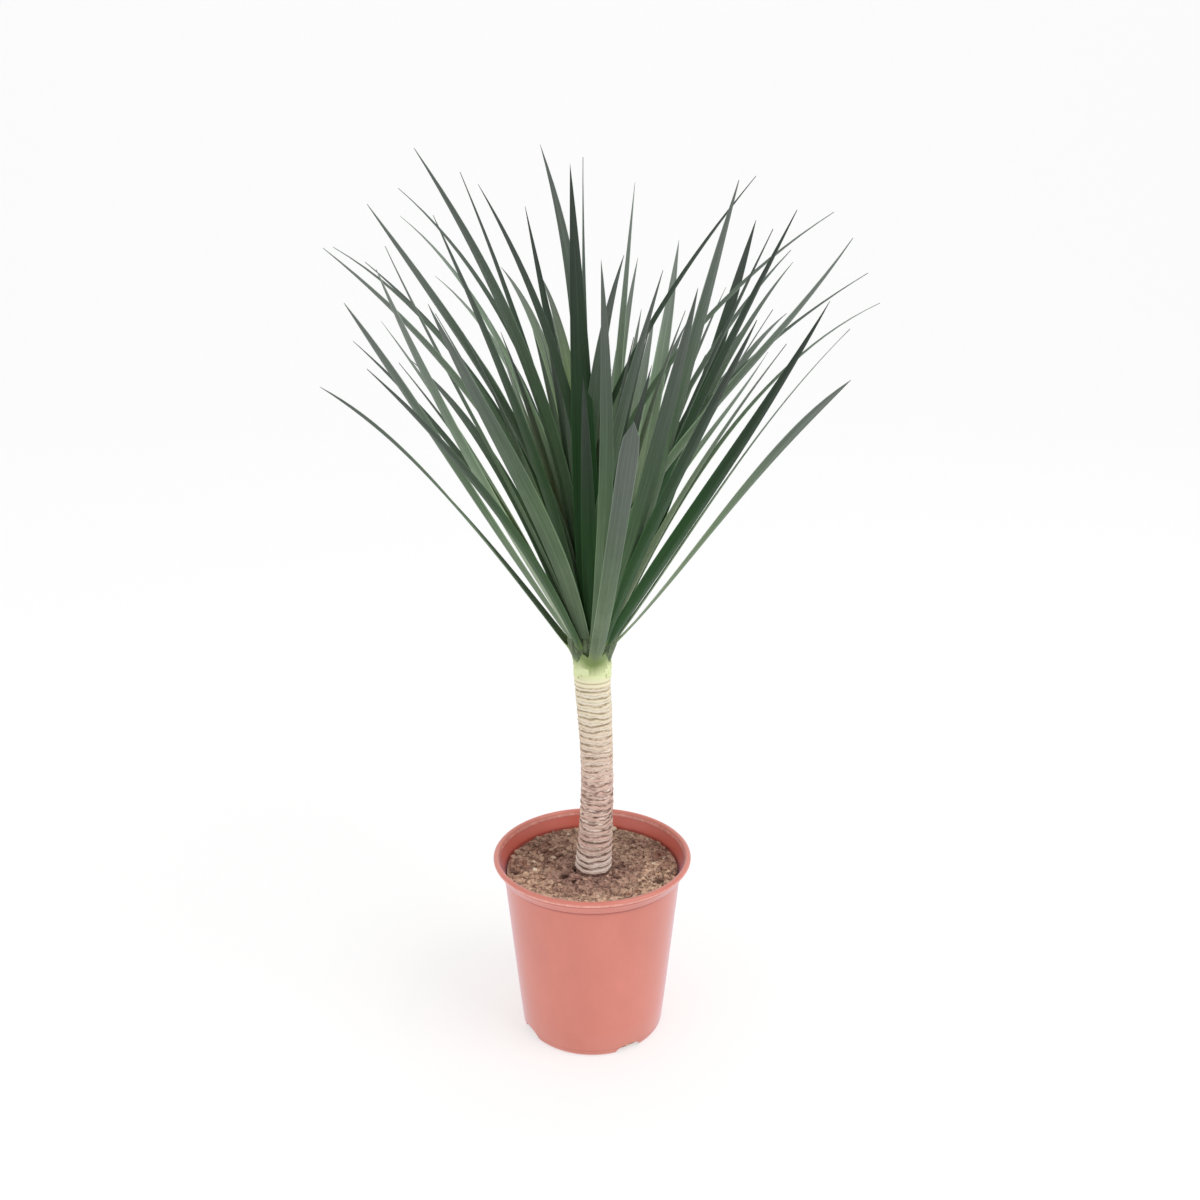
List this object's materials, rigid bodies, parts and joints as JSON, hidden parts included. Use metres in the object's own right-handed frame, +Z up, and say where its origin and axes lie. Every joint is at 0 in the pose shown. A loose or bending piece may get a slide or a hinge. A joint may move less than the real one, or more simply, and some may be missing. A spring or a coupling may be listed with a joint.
{
  "type": "potted dragon tree",
  "caption": "Dragon tree with one bare, ring-scarred stem and a fan of stiff sword-shaped leaves, standing in soil in a plain tapered nursery pot with a rolled rim.",
  "frame": {"origin": "centre of the pot's foot, on the surface that the pot stands on", "axes": "+Z up along the pot's axis, -Y towards the side that the picture shows, +X to that side's right"},
  "size_m": [0.5255, 0.6634, 0.8119],
  "materials": {
    "pot_plastic": "satin, terracotta coloured, moulded plastic",
    "potting_soil": "rough, lumpy peat and bark with light chips",
    "stem_bark": "rough, ringed with leaf scars and finely cracked",
    "leaf_green": "satin, leathery leaf, greyer below than above"
  },
  "bodies": {
    "root": {"pot": "pot_plastic", "soil": "potting_soil", "trunk": "stem_bark", "leaf_crown": "leaf_green"}
  },
  "joints": []
}
